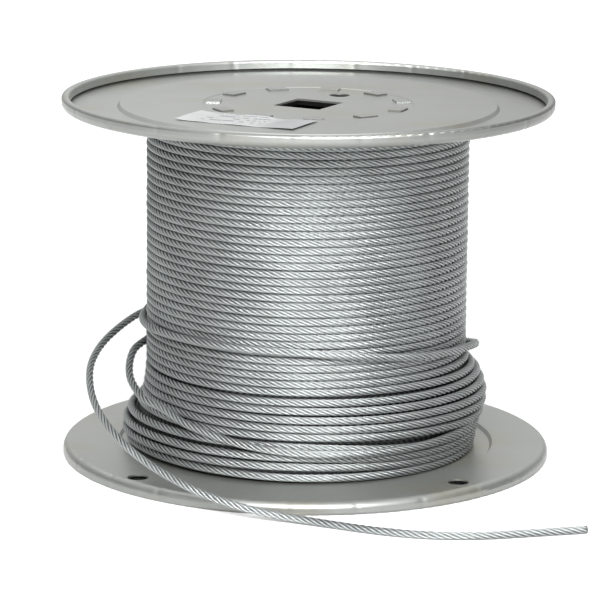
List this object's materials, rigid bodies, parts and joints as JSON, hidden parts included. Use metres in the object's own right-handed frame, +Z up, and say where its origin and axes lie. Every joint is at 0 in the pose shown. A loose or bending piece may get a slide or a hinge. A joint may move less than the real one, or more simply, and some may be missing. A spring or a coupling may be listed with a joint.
{
  "type": "reel of galvanized steel aircraft cable",
  "caption": "Steel reel wound with stranded galvanized aircraft cable, standing on one flange, with the loose free end lying on the floor.",
  "frame": {"origin": "centre of the lower flange's rim, on the surface the reel stands on", "axes": "+Z up along the reel's axis; the free end of the cable leaves behind the -X side and lies in front toward -Y and +X"},
  "size_m": [0.3166, 0.3534, 0.2264],
  "materials": {
    "flange_steel": "galvanized sheet, satin, slightly mottled",
    "drum_steel": "galvanized sheet, satin",
    "cable_steel": "bright galvanized wire strand",
    "label_paper": "matt white paper"
  },
  "bodies": {
    "root": {"top_flange": "flange_steel", "bottom_flange": "flange_steel", "drum": "drum_steel", "wound_cable": "cable_steel", "cable_end": "cable_steel", "label": "label_paper"}
  },
  "joints": []
}
